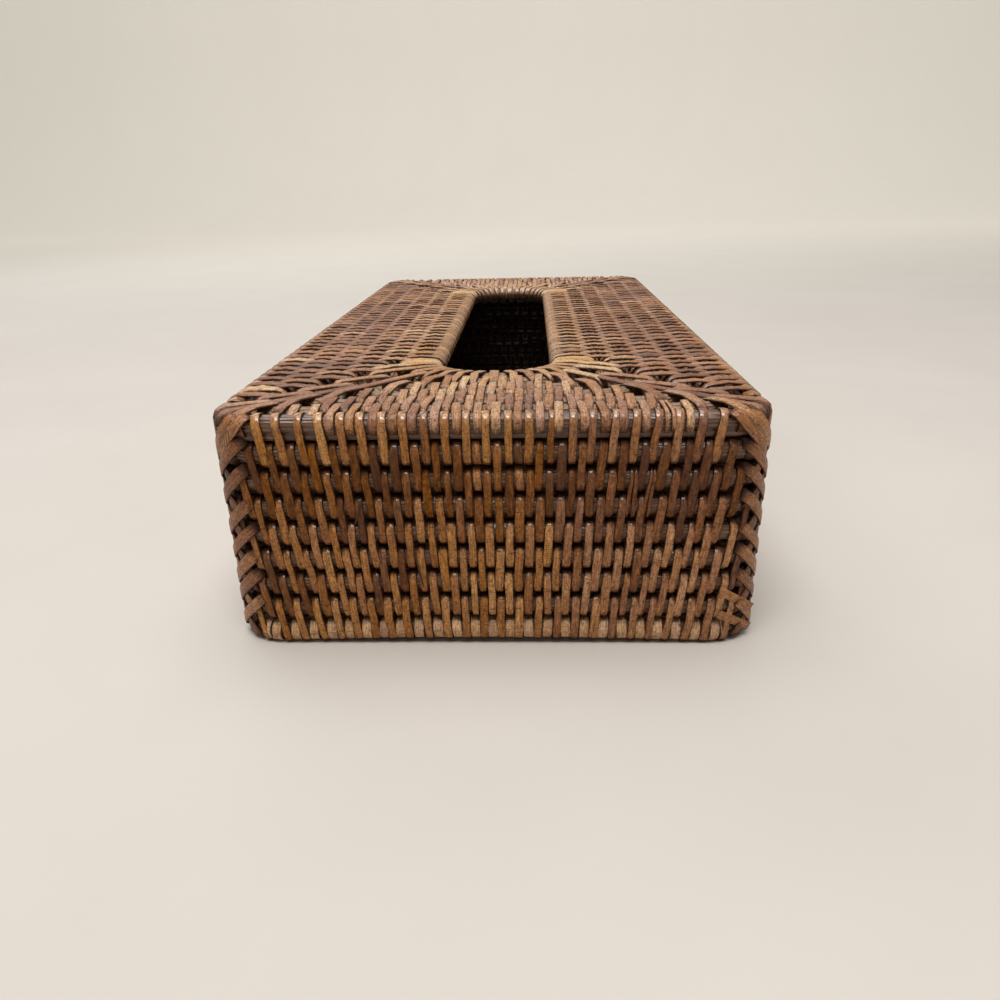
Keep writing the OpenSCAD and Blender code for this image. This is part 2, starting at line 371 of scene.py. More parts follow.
# %% A closed band
class Band:
    """A closed band's mesh. `places` and `corners` hold the station and the point of
    each vertex and of each face corner."""

    def __init__(self, stations, points):
        self.stations = stations
        bm = bmesh.new()
        layer = bm.loops.layers.uv.new("strip_mm")
        bmesh.ops.create_grid(bm, x_segments=stations, y_segments=points, size=0.5,
                              calc_uvs=True)
        for vert in bm.verts:
            along, round_it = (2 * math.pi * (share + 0.5) for share in vert.co.xy)
            reach = 2 + math.cos(round_it)  # a plain ring, twice as wide as thick
            vert.co = (reach * math.cos(along), reach * math.sin(along),
                       math.sin(round_it))
        bmesh.ops.remove_doubles(bm, verts=bm.verts, dist=1e-4)
        bmesh.ops.recalc_face_normals(bm, faces=bm.faces)
        counts = np.array([stations, points])
        loops = [loop for face in bm.faces for loop in face.loops]
        self.corners = np.array([np.round(np.array(loop[layer].uv) * counts)
                                 for loop in loops], int)
        where = {loop.vert.index: corner for loop, corner in zip(loops, self.corners)}
        self.places = np.array([where[i] for i in range(len(bm.verts))]) % counts
        self.mesh = bpy.data.meshes.new("band")
        bm.to_mesh(self.mesh)
        bm.free()
        self.mesh.attributes.new("strip", "FLOAT_COLOR", "POINT")


def section_lengths(section):
    """Millimetres round a closed section, from its first point back to it."""
    steps = np.linalg.norm(np.roll(section, -1, axis=0) - section, axis=1)
    return np.concatenate([[0], np.cumsum(steps)])


print("A band knows each vertex's station and point")

# %% The bottom edge
BOW = 1.0


def settle(places):
    """Lifts the middle of each wall's bottom edge, which use has bent, off the table,
    and presses flat what would reach below it."""
    x, y, z = places.T
    over_end = (y / WALL_Y) ** 4 * np.maximum(0, 1 - (x / RUN_X) ** 2)
    over_side = (x / WALL_X) ** 4 * np.maximum(0, 1 - (y / RUN_Y) ** 2)
    lifted = z + BOW * (1 - z / (TOP + GRIP)) * np.minimum(1, over_end + over_side)
    places[:, 2] = np.maximum(lifted, 0)


print("The bottom edge is bowed by", BOW, "mm")

# %% Weaving
NOISE_SPAN, NOISE_SLANT = 900, 1.7


class Weave:
    """A mesh that grows by one bent band at a time."""

    def __init__(self):
        self.bm = bmesh.new()
        self.count = 0

    def lay(self, band, path, lift, section, deep, tone=0.5, hue=0.5, edge=None,
            polish=0.2, floor=0.0):
        """Bends a band along a closed path, which keeps above `floor`. `section`
        holds a closed outline for each station: how far across, and how far along
        `lift`. `deep` is the grime and painted shade at each station, and `edge` more
        of it at each point of the outline."""
        station, point = band.places.T
        path[:, 2] = np.maximum(path[:, 2], floor)
        tangent = np.roll(path, -1, axis=0) - np.roll(path, 1, axis=0)
        across = np.cross(tangent, lift)
        across /= np.linalg.norm(across, axis=1)[:, None]
        side, height = section[station, point].T
        places = (path[station] + across[station] * side[:, None]
                  + lift[station] * height[:, None])
        settle(places)
        band.mesh.vertices.foreach_set("co", (places * MM).ravel())
        marks = np.array([np.broadcast_to(share, len(path))[station]
                          for share in (tone, hue, deep, polish)]).T
        if edge is not None:
            marks[:, 2] += edge[point]
        marks = np.clip(marks, 0, 1).ravel()
        band.mesh.attributes["strip"].data.foreach_set("color", marks)
        # Each band starts somewhere else in the noise, so no two are alike.
        start = rng.uniform(0, NOISE_SPAN)
        along = section_lengths(path)[band.corners[:, 0]] + start
        girth = section_lengths(section[0])[band.corners[:, 1]] + start * NOISE_SLANT
        uv = np.stack([along, girth], 1)
        band.mesh.uv_layers["strip_mm"].data.foreach_set("uv", uv.ravel())
        self.bm.from_mesh(band.mesh)
        self.count += 1

    def piece(self, name, material, slot, *nodes):
        """Makes the finished piece, in place of the frame's nodes."""
        mesh = bpy.data.meshes.new(name)
        self.bm.to_mesh(mesh)
        self.bm.free()
        mesh.shade_smooth()
        mesh.materials.append(material)
        piece = bpy.data.objects.new(name, mesh)
        bpy.context.collection.objects.link(piece)
        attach(piece, "root")
        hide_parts(*nodes)
        print(name, self.count, "bands,", len(mesh.polygons), "faces")


print("Ready to weave")

# %% [markdown]
# ## The rods
# Each rod is one band bent into a rounded rectangle. Its section is a bundle of
# reeds: soft lobes that wind slowly round the rod, as the reeds do. On the hidden
# side, towards the box, the bundle has spread until it meets the next rod, so no
# light passes between them.

# %% A ring
ROD_POINTS, BEND_STEPS, SIDE_STATIONS, END_STATIONS = 36, 6, 50, 24


def rounded_rectangle(half_x, half_y, bend):
    """Places and outward directions round a ring, from its front right bend."""
    run_x, run_y = half_x - bend, half_y - bend
    corners = [(run_x, -run_y, -90), (run_x, run_y, 0), (-run_x, run_y, 90),
               (-run_x, -run_y, 180)]
    places, outward = [], []
    for side, (x, y, start) in enumerate(corners):
        for step in range(BEND_STEPS + 1):
            angle = math.radians(start + 90 * step / BEND_STEPS)
            ray = (math.cos(angle), math.sin(angle))
            places.append((x + bend * ray[0], y + bend * ray[1]))
            outward.append(ray)
        ahead = corners[(side + 1) % 4]
        here, goal = places[-1], (ahead[0] + bend * ray[0], ahead[1] + bend * ray[1])
        steps = END_STATIONS if side % 2 else SIDE_STATIONS
        for step in range(1, steps):
            places.append(tuple(a + (b - a) * (step / steps)
                                for a, b in zip(here, goal)))
            outward.append(ray)
    return np.array(places), np.array(outward)


rod_band = Band(4 * (BEND_STEPS + 1) + 2 * (SIDE_STATIONS + END_STATIONS - 2),
                ROD_POINTS)
print("A rod has", rod_band.stations, "stations of", ROD_POINTS, "points")

# %% One rod
LOBES, TWIST_LENGTH = 9, 120  # a reed moves on by one place in this length
CORE, LOBE_HEIGHT, UNEVENNESS = 0.87, 0.11, 0.02
SPREAD_SHARE, SPREAD_CURVE = 0.515, 0.2
HIDDEN_FROM, HIDDEN_OVER = 0.1, 0.4  # where the hidden side begins
# How the painted shade on the rod's side inside the cover sets in and deepens.
DARK_SLOPE, DARK_FROM = 3, 1.8  # how it darkens towards the inside


def rod(name, half_x, half_y, bend, height, up_share, side_room, end_room, dust,
        bend_paleness=0.0, polish=0.2, free=False, bend_room=0.0):
    """One rod. `up_share` turns its face from outward (0) to upward (1), and the
    rooms are the distances to the next rod along the sides and the ends, with
    `bend_room` more in the bends. It is as pale as `dust`, and paler in its bends by
    a further share. A `free` rod has no neighbour inside its ring."""
    ring, outward = rounded_rectangle(half_x, half_y, bend)
    path = np.column_stack([ring, np.full(len(ring), height)])
    lift = np.column_stack([outward * (1 - up_share), np.full(len(ring), up_share)])
    lift /= np.linalg.norm(lift, axis=1)[:, None]
    *along, whole = section_lengths(path)
    turns = round(whole / TWIST_LENGTH)
    twist = 2 * math.pi / LOBES * turns * np.array(along) / whole + rng.uniform(0, 6)
    angle = 2 * math.pi * np.arange(ROD_POINTS) / ROD_POINTS
    lobe = np.abs(np.cos(LOBES / 2 * (angle[None, :] + twist[:, None])))
    radius = (ROD * (CORE + LOBE_HEIGHT * lobe)
              + rng.normal(0, UNEVENNESS, (len(path), ROD_POINTS)))
    in_bend = np.abs(outward[:, 0] * outward[:, 1]) * 2
    room = (outward[:, 0] ** 2 * side_room + outward[:, 1] ** 2 * end_room
            + in_bend * bend_room)
    spread = np.sign(np.cos(angle)) * np.abs(np.cos(angle)) ** SPREAD_CURVE
    hidden = np.clip((HIDDEN_FROM - np.sin(angle)) / HIDDEN_OVER, 0, 1)
    if free:
        hidden[np.cos(angle) < 0] = 0
    across = (radius * np.cos(angle) * (1 - hidden)
              + room[:, None] * SPREAD_SHARE * spread * hidden)
    section = np.stack([across, radius * np.sin(angle)], 2)
    weave = Weave()
    # The edge marks carry the painted shade of the rod's inner side.
    weave.lay(rod_band, path, lift, section, 0, dust + in_bend * bend_paleness, polish=polish,
              edge=np.clip(-DARK_SLOPE * np.sin(angle) - DARK_FROM, 0, 1))
    weave.piece("reed_" + name, rod_reed, "rod_reed", name)


print("Each rod is a bundle of", LOBES, "reeds")

# %% The fifteen rods
BEND_ROOM = 5.4  # the rings of the top lie further apart in their bends
ring_names = ["opening_rim_rod", *(f"top_rod_{k}" for k in range(1, SHOULDER))]
for k, name in enumerate(ring_names):
    rod(name, *ring_half(k), BENDS[k], TOP, 1.0, SIDE_STEP, END_STEP, dust=0.9,
        free=k == 0, bend_room=BEND_ROOM if k else 0.0)
wall_ring = (WALL_X, WALL_Y, WALL_BEND)
rod("shoulder_rod", *wall_ring, TOP, 0.5, PITCH, PITCH, dust=0.0, bend_paleness=0.25,
    polish=0.75)
wall_names = [*(f"wall_rod_{k}" for k in range(1, WALL_RODS - 1)), "base_rod"]
for k, name in enumerate(wall_names, start=1):
    rod(name, *wall_ring, TOP - k * PITCH, 0.0, PITCH, PITCH, dust=0.2, bend_paleness=0.25,
        polish=0.3)

# %% [markdown]
# ## One stitch
# A stitch comes out of the gap behind its upper rod, bends over it, runs flat over
# both rods and dives square into the next gap. Inside the cover it runs straight
# back. The path follows that stadium: two half circles joined by straight runs.
# More stations lie where the strip bends in sight.

# %% A strip's section and stations
TURNS = [180, 125, 85, 58, 32, 10]  # degrees, from the back of a rod to its front
SQUARE_SHARES = [1.0, 1.05, 1.10, 1.06, 1.0, 1.0]
CROWN = np.array([(0.5, -0.5), (0.5, 0.2), (0.42, 0.5), (0.0, 0.58), (-0.42, 0.5),
                  (-0.5, 0.2), (-0.5, -0.5)])
# A strip's sides, down against the rods, are darker: grime and painted shade.
EDGE_GRIME_AND_SHADE = np.array([0.7, 0.55, 0.08, 0.0, 0.08, 0.55, 0.7])
STITCH_POLISH = np.array([0, 0, 0.8, 1, 1, 0.5, 0.1, 0.1, 0.3, 0.2, 0, 0, 0])
stitch_band = Band(2 * len(TURNS) + 1, len(CROWN))
wrap_band = Band(12, len(CROWN))
WRAP_ANGLES = 2 * math.pi * np.arange(wrap_band.stations) / wrap_band.stations
print("Stitches of", stitch_band.stations, "stations")


# %% Laying a stitch
UPPER_FADE, LOWER_FADE = 75, 45  # degrees over which grime and painted shade fade in


def unit(vector):
    return vector / np.linalg.norm(vector)


def turned(ray, towards, degrees):
    angle = math.radians(degrees)
    return ray * math.cos(angle) + towards * math.sin(angle)


def even_section(band, width, thickness):
    """A strip's outline, the same at each station."""
    return np.repeat((CROWN * (width, thickness))[None], band.stations, axis=0)


def stitch(weave, upper, lower, outward, width, tone=0.5, hue=0.5, bulge=0.0,
           bend=0.0, floor=0.0, roll=0.0, upper_dark=50, lower_dark=30, shine=1.0,
           belly=1.0):
    """Lays one strip over two rods, whose middles are `upper` and `lower`. Between
    them it is wider by `belly`. Grime and painted shade begin where it has turned by
    the two dark angles."""
    down = unit(lower - upper)
    outward = unit(outward - down * outward.dot(down))
    side = np.cross(down, outward)
    path, lift, deep = [], [], []
    # Where the strip turns into the gap behind a rod it darkens: painted shade, with
    # grime.
    for turn in TURNS:
        ray = turned(outward, -down, turn)
        path.append(upper + ray * GRIP)
        lift.append(ray)
        deep.append(max(0.0, (turn - upper_dark) / UPPER_FADE))
    path.append((upper + lower) / 2 + outward * (GRIP + bulge) + side * bend)
    lift.append(unit(outward + side * roll))
    deep.append(0.0)
    for turn, square in zip(TURNS[::-1], SQUARE_SHARES):
        ray = turned(outward, down, turn)
        path.append(lower + ray * GRIP * square)
        lift.append(ray)
        deep.append(max(0.0, (turn - lower_dark) / LOWER_FADE))
    section = even_section(stitch_band, width, rng.normal(STRIP_THICKNESS, 0.02))
    section[:, :, 0] *= (1 + rng.normal(0, 0.05, len(path)))[:, None]
    section[len(TURNS), :, 0] *= belly
    weave.lay(stitch_band, np.array(path), np.array(lift), section, np.array(deep),
              tone, hue, EDGE_GRIME_AND_SHADE, shine * STITCH_POLISH, floor)


# What fades in here is grime together with painted shade.
print("Dirt fades in over", UPPER_FADE, "and", LOWER_FADE, "degrees")

# %% Split strips, short wraps and loose ends
SPLIT_CHANCE, SPLIT_OFFSET, SPLIT_OPENING, SPLIT_WIDTH = 0.02, 0.26, 1.25, 0.47
LOOSE_THICKNESS, LOOSE_BOW, LOOSE_HUE = 0.3, 0.15, 0.4


def lash(weave, upper, lower, outward, width, **look):
    """A stitch that now and then has split along its length."""
    if rng.random() > SPLIT_CHANCE:
        stitch(weave, upper, lower, outward, width, **look)
        return
    side = unit(np.cross(lower - upper, outward))
    for half in (-SPLIT_OFFSET, SPLIT_OFFSET):
        stitch(weave, upper + side * half * width,
               lower + side * half * width * SPLIT_OPENING, outward,
               width * SPLIT_WIDTH, **look)


def wrap(weave, middle, axis, outward, width=END_WIDTH, tone=0.5, hue=0.5, floor=0.0,
         lean=0.0):
    """Lays one short strip round a single rod."""
    side = np.cross(axis, outward)
    cosine, sine = np.cos(WRAP_ANGLES), np.sin(WRAP_ANGLES)
    lift = np.outer(cosine, outward) + np.outer(sine, side)
    path = middle + lift * GRIP + np.outer(sine * lean, axis)
    # Its back, round the rod's far side, darkens: painted shade, with grime.
    weave.lay(wrap_band, path, lift, even_section(wrap_band, width, STRIP_THICKNESS),
              np.clip(0.15 - cosine, 0, 1), tone, hue, EDGE_GRIME_AND_SHADE, floor=floor)


def loose_end(weave, tip, root, ray, width, tone):
    """Lays a cut end or a splinter that stands off the weave."""
    cosine, sine = np.cos(WRAP_ANGLES), np.sin(WRAP_ANGLES)
    path = ((tip + root) / 2 + np.outer(cosine, (tip - root) / 2)
            + np.outer(sine * LOOSE_BOW, ray))
    lift = np.outer(cosine, unit(tip - root)) + np.outer(sine, ray)
    weave.lay(wrap_band, path, lift, even_section(wrap_band, width, LOOSE_THICKNESS),
              0, tone, LOOSE_HUE)


def near(mean, spread):
    """A share between 0 and 1 that scatters round a mean."""
    return float(np.clip(rng.normal(mean, spread), 0, 1))


print("One strip in", round(1 / SPLIT_CHANCE), "has split")

# %% [markdown]
# ## The walls
# A maker works down the wall row by row: each new strip starts between two of the
# row above, so rows are half a step apart, and each leans a little to the middle
# of its wall. That is how the places are worked out here, with small slips.

# %% Where a wall's strips stand
LEAN, ROW_GROWTH = 1.1, 1.014  # rows lean in, then spread a little
FIRST_REACH, REACH = 2.0, 8.2  # how far the rows go on round the bends
TOP_SLIP, LOW_SLIP = 0.15, 0.13


def wall_grid(half_run, pitch):
    """For each row, where its strips cross their upper and their lower rod."""
    count = math.floor((half_run + FIRST_REACH) / pitch)
    tops = pitch * np.arange(-count, count + 1)
    rows = []
    for _ in range(WALL_RODS - 1):
        tops = tops + rng.normal(0, TOP_SLIP, len(tops))
        lows = tops - LEAN * tops / half_run + rng.normal(0, LOW_SLIP, len(tops))
        rows.append((tops, lows))
        tops = (lows[1:] + lows[:-1]) / 2 * ROW_GROWTH
        if tops[0] - pitch > -half_run - REACH:
            tops = np.insert(tops, 0, tops[0] - pitch)
        if tops[-1] + pitch < half_run + REACH:
            tops = np.append(tops, tops[-1] + pitch)
    return rows


class Wall:
    """One wall. A place on it is a distance from its middle, round the bends too."""

    def __init__(self, middle, along, outward, half_run):
        self.middle, self.along, self.outward = (np.array([*v, 0.0])
                                                 for v in (middle, along, outward))
        self.half_run = half_run

    def at(self, place, height):
        """The rod's middle there, and the way out."""
        past = abs(place) - self.half_run
        if past <= 0:
            return self.middle + self.along * place + UP * height, self.outward
        side, turn = self.along * math.copysign(1, place), past / WALL_BEND
        ray = self.outward * math.cos(turn) + side * math.sin(turn)
        centre = self.middle + side * self.half_run - self.outward * WALL_BEND
        return centre + ray * WALL_BEND + UP * height, ray


WALLS = [  # middle, along, outward, half the straight run, pitch, width of strips
    ((0, -WALL_Y), (1, 0), (0, -1), RUN_X, END_PITCH, END_WIDTH),
    ((WALL_X, 0), (0, 1), (1, 0), RUN_Y, SIDE_PITCH, SIDE_WIDTH),
    ((0, WALL_Y), (-1, 0), (0, 1), RUN_X, END_PITCH, END_WIDTH),
    ((-WALL_X, 0), (0, -1), (-1, 0), RUN_Y, SIDE_PITCH, SIDE_WIDTH)]
print("Each wall has", WALL_RODS - 1, "rows")

# %% How a wall's strips look
# Each row's tone is partly the cane's own and partly painted light and shade: paler at
# the shoulder and in the lower rows, where more light falls, darker in rows 2 and 3.
ROW_TONES_AND_LIGHT = [0.66, 0.29, 0.31, 0.47, 0.68, 0.68, 0.68, 0.70]
UPPER_ROWS, UPPER_HUE, LOWER_HUE = 3, 0.8, 0.55
RIGHT_FROM, RIGHT_DARKER, RIGHT_REDDER = 0.3, 0.04, 0.4
DULL_ROWS, DULL_FROM, DULL_TONES = (3, 4, 6, 7), -0.4, (0.2, 0.36)
DULL_CHANCE, STRAY_CHANCE = 0.4, 0.02
# Strips under the corner's binding are darkened as painted shade.
UNDER_CORNER, CORNER_SHADE = 1.09, 0.4  # strips that the corner's binding covers


def strip_look(row, share):
    """Tone and hue of a wall strip: orange-brown above and tan below, redder to the
    right, and dull and dark here and there on the left. The row's tone also carries
    painted light and shade, and under the corner's binding a strip gets a painted
    shade."""
    tone = near(ROW_TONES_AND_LIGHT[row - 1], 0.10)
    hue = near(UPPER_HUE if row <= UPPER_ROWS else LOWER_HUE, 0.12)
    if share > RIGHT_FROM:
        tone, hue = tone - RIGHT_DARKER, hue - RIGHT_REDDER
    dull_part = row in DULL_ROWS and share < DULL_FROM
    if rng.random() < (DULL_CHANCE if dull_part else STRAY_CHANCE):
        tone = rng.uniform(*DULL_TONES)
    if abs(share) > UNDER_CORNER:
        tone = tone * CORNER_SHADE
    return tone, hue


print("Tones of the rows:", ROW_TONES_AND_LIGHT)

# %% Lay the walls
FLOOR_GAP = 0.05
LOWEST = FLOOR_GAP + STRIP_THICKNESS / 2
SHOULDER_DARK_TURN, WALL_DARK_TURN = 105, 28  # degrees turned before grime and painted shade begin
SHORT_ROW, SHORT_PLACES, SHORT_REACH, SHORT_TONE = 2, (-1.6, 8.6), 2.5, 0.6
wall_rows = [Weave() for _ in range(WALL_RODS - 1)]
base_wraps = Weave()


def wall_strip(wall, row, top, low, width):
    """One strip of a row, or, in two places of the front, two short wraps for it."""
    weave = wall_rows[row - 1]
    tone, hue = strip_look(row, top / wall.half_run)
    upper, _ = wall.at(top, TOP - (row - 1) * PITCH)
    lower, _ = wall.at(low, TOP - row * PITCH)
    in_front = row == SHORT_ROW and wall.outward[1] < 0
    if in_front and any(abs(low - place) < SHORT_REACH for place in SHORT_PLACES):
        for rod_middle, shade in ((upper, tone), (lower, SHORT_TONE)):
            wrap(weave, rod_middle, np.cross(UP, wall.outward), wall.outward,
                 tone=shade, lean=0.2)
        return
    first, last = row == 1, row == WALL_RODS - 1
    lash(weave, upper, lower, wall.at((top + low) / 2, 0)[1],
         width=rng.normal(width, 0.15), tone=tone, hue=hue,
         bulge=rng.uniform(-0.2, 0.05), bend=rng.normal(0, 0.14),
         floor=LOWEST if last else 0.0, roll=rng.normal(0, 0.09),
         upper_dark=SHOULDER_DARK_TURN if first else WALL_DARK_TURN,
         shine=1.0 if first else rng.uniform(0, 0.5))


for middle, along, outward, half_run, pitch, width in WALLS:
    wall = Wall(middle, along, outward, half_run)
    grid = wall_grid(half_run, pitch)
    for row, (tops, lows) in enumerate(grid, start=1):
        for top, low in zip(tops, lows):
            wall_strip(wall, row, top, low, width)
    lows = grid[-1][1]
    for place in (lows[1:] + lows[:-1]) / 2:
        rod_middle, ray = wall.at(place, BASE)
        wrap(base_wraps, rod_middle, np.cross(UP, ray), ray,
             width=rng.normal(width + 0.55, 0.15), tone=near(0.8, 0.1),
             hue=near(0.4, 0.2), floor=LOWEST, lean=rng.normal(0, 0.2))

# %% Splinters, and the finished rows
SPLINTER_ROW, SPLINTER_REACH, SPLINTER_WIDTH = 5, 3.7, 0.35
SPLINTERS = [((-32.8, 43.5), (-35.0, 36.5)), ((-19.5, 25.0), (-18.2, 17.5))]
front = Wall(*WALLS[0][:4])
for tip, root in SPLINTERS:
    (high, ray), (low, _) = front.at(*tip), front.at(*root)
    loose_end(wall_rows[SPLINTER_ROW - 1], high + ray * SPLINTER_REACH,
              low + ray * SPLINTER_REACH, ray, SPLINTER_WIDTH, 0)
for row, weave in enumerate(wall_rows, start=1):
    weave.piece(f"cane_wall_{row}", wall_cane, "wall_cane", f"wall_lashing_{row}")
base_wraps.piece("cane_base_wraps", pale_cane, "pale_cane", "base_wraps")

# %% [markdown]
# ## The feet
# Short wraps on the base rod's bends lie lowest, so the cover stands on them. Years
# on a table have pressed them flat.

# %% The feet
FOOT_ANGLES = [20, 45, 70]
BEND_CENTRE = np.array([RUN_X, RUN_Y, 0.0])
QUARTERS = [np.array([x, y, 1]) for x in (-1, 1) for y in (-1, 1)]


def compass(degrees):
    """A level way out, from the side (0) to the end (90)."""
    angle = math.radians(degrees)
    return np.array([math.cos(angle), math.sin(angle), 0.0])


def on_wall_bend(angle, reach=WALL_BEND):
    """A point on a wall's bend, at height 0, and the way out."""
    return BEND_CENTRE + compass(angle) * reach, compass(angle)


def bend_wrap(weave, mirror, angle, height, **look):
    """A short wrap round a wall rod's bend."""
    place, ray = on_wall_bend(angle)
    wrap(weave, place * mirror + UP * height, np.cross(UP, ray * mirror), ray * mirror,
         **look)


feet = Weave()
for quarter in QUARTERS:
    for angle in FOOT_ANGLES:
        bend_wrap(feet, quarter, angle, BASE, tone=near(0.6, 0.2), hue=near(0.4, 0.2),
                  floor=STRIP_THICKNESS / 2)
feet.piece("cane_foot_wraps", pale_cane, "pale_cane", "foot_wraps")

# %% [markdown]
# ## The top
# The top is wound outward from the slot. Beside the slot and across the ends its
# strips run straight from ring to ring. Round the corners each ring is longer than
# the last, so the strips spread like a fan, and dark pockets open between them.

# %% Places on the rings
END_SLANTS, SIDE_SLANT = [21, 30, 21, 30, 21, 21], 21  # degrees into the bends


def sag(past, bend):
    return 0.0 if past <= 0 else bend - math.sqrt(bend ** 2 - past ** 2)


def on_ring(k, place, across_end):
    """A point on ring k, by its distance from the middle of one end or one side."""
    (half_x, half_y), (run_x, run_y) = ring_half(k), ring_run(k)
    if across_end:
        return np.array([place, half_y - sag(abs(place) - run_x, BENDS[k]), TOP])
    return np.array([half_x - sag(abs(place) - run_y, BENDS[k]), place, TOP])


def on_bend(k, angle):
    return np.array([*ring_run(k), TOP]) + compass(angle) * BENDS[k]


def row_places(k, across_end):
    """Where row k's straight strips stand, half a step apart from row to row."""
    axis, pitch, slant = ((0, END_PITCH, END_SLANTS[k]) if across_end
                          else (1, SIDE_PITCH, SIDE_SLANT))
    slant = math.sin(math.radians(slant))
    inner_reach, outer_reach = (ring_run(ring)[axis] + BENDS[ring] * slant
                                for ring in (k, k + 1))
    if k < 2 and not across_end:
        inner_reach = ring_run(k)[axis]
    last = min(inner_reach, outer_reach)
    count = math.floor(last / pitch + (k % 2) / 2)
    places = (np.arange(-count, count + 1) + (k % 2) / 2) * pitch
    return [place for place in places if abs(place) <= last]


print("Row 1 has", len(row_places(1, True)), "strips across each end")

# %% The straight strips
BARE_ROW, BARE_LEFT, BARE_RIGHT = 5, -43.0, 54.0  # beyond, the shoulder is bare
# The last two: how far a top strip turns at its outer end before grime and painted
# shade begin, further on the shoulder's row.
BARE_BACK, OUTER_DARK_TURN, TOP_DARK_TURN = 2.2, 100, 40
GAPPY_ROW, GAPPY_NARROWER = 1, 0.6


def straight_strips(weave, k, across_end, width, mood, belly, bulges):
    """Row k's straight strips, on both ends or on both sides."""
    for sign in (-1, 1):
        mirror = np.array([1, sign, 1]) if across_end else np.array([sign, 1, 1])
        gappy = k == GAPPY_ROW and sign > 0 and not across_end
        for place in row_places(k, across_end):
            covered = BARE_LEFT < place < BARE_RIGHT
            bare = k == BARE_ROW and across_end and not covered
            place += rng.normal(0, 0.2)
            slip = rng.normal(0, 0.15)
            inner = on_ring(k, place - slip, across_end) * mirror
            outer = on_ring(k + 1, place + slip, across_end) * mirror
            if bare:
                outer += unit(inner - outer) * BARE_BACK - UP
            lash(weave, inner, outer, UP,
                 width=rng.normal(width - GAPPY_NARROWER * gappy, 0.12),
                 tone=near(mood, 0.18), hue=near(0.5, 0.2),
                 belly=1.0 if gappy else belly, bulge=rng.uniform(*bulges),
                 roll=rng.normal(0, 0.06),
                 lower_dark=OUTER_DARK_TURN if k == BARE_ROW and not bare else TOP_DARK_TURN)


print("The shoulder rod is bare beyond", BARE_LEFT, "and", BARE_RIGHT)

# %% The fans
FANS = [  # for each row, a strip's angles on its inner and on its outer ring
    [(2, 1), (10, 9), (18, 17), (30, 27), (41, 38.5), (52, 50), (63, 61.5), (74, 73),
     (85, 84.5)],
    [(16.5, 5), (30, 20), (45, 47), (60, 73.5)],
    [(33, 19), (46.5, 51), (60, 83)],
    [(36, 18), (43.5, 44), (51, 71)],
    [(35, 10), (42.5, 42.5), (50, 75)],
    [(33, 14.5), (41, 41), (50, 67)]]
FAN_WIDTH, RIM_FAN_WIDTH, FAN_BOW = 3.2, 2.7, 0.9
SEAM_FROM, SEAM_TO, PALE_TO = 40, 48, 20
SEAM_DARKER, PATCH_PALER, PATCH_YELLOWER = 0.3, 0.35, 0.4


def fan_strips(weave, k, mood):
    """Row k's strips round the four corners. Those on the seam, in the middle, lie
    low and dark, and the first of the inner rows are pale."""
    for quarter in QUARTERS:
        handed = quarter[0] * quarter[1]
        for start, end in FANS[k]:
            turn = rng.normal(0, 1.2 if k else 0.4)
            seam = k > 1 and SEAM_FROM < start < SEAM_TO
            first = start < PALE_TO
            pale = first and k < 2
            bow = FAN_BOW * (handed if start > SEAM_TO else -handed)
            stitch(weave, on_bend(k, start + turn) * quarter,
                   on_bend(k + 1, end + turn) * quarter, UP,
                   width=rng.normal(FAN_WIDTH if k or first else RIM_FAN_WIDTH, 0.1),
                   tone=near(mood - SEAM_DARKER * seam + PATCH_PALER * pale, 0.14),
                   hue=near(0.45 + PATCH_YELLOWER * pale, 0.2),
                   bulge=-0.1 if seam else 0.25, bend=0.0 if seam or first else bow,
                   lower_dark=TOP_DARK_TURN)


print("Strips in the fans:", [len(fan) for fan in FANS])

# %% Lay the top
ROW_MOODS = [0.60, 0.74, 0.56, 0.44, 0.42, 0.52]
END_STRIP_WIDTH, SIDE_STRIP_WIDTHS = 2.35, [2.7, 2.7, 2.7, 3.15, 3.15, 3.15]
END_PALER, SIDE_DARKER = 0.05, 0.16
SIDE_BELLY, END_BULGES, SIDE_BULGES = 1.22, (-0.15, 0.0), (0.2, 0.45)


def top_row(weave, k):
    """Lays row k. Row 0, the rim's, has only fans on its ends."""
    mood = ROW_MOODS[k]
    if k > 0:
        straight_strips(weave, k, True, END_STRIP_WIDTH, mood + END_PALER, 1.0,
                        END_BULGES)
    straight_strips(weave, k, False, SIDE_STRIP_WIDTHS[k], mood - SIDE_DARKER,
                    SIDE_BELLY, SIDE_BULGES)
    fan_strips(weave, k, mood)


for k in range(1, SHOULDER):
    weave = Weave()
    top_row(weave, k)
    weave.piece(f"cane_top_{k}", top_cane, "top_cane", f"top_lashing_{k}")

# %% [markdown]
# ## The slot's rim
# Round the slot the cane is palest. Along its sides each strip stands close to the
# next: one long, then short wraps round the rim rod alone.

# %% The slot's rim
rim = Weave()
top_row(rim, 0)
for sign in (-1, 1):
    mirror = np.array([1, sign, 1])
    stitch(rim, on_ring(0, 0, True) * mirror, on_ring(1, 0, True) * mirror, UP,
           width=FAN_WIDTH, tone=near(0.5, 0.2), hue=near(0.45, 0.2))
rim.piece("cane_rim", pale_cane, "pale_cane", "opening_rim_lashing")

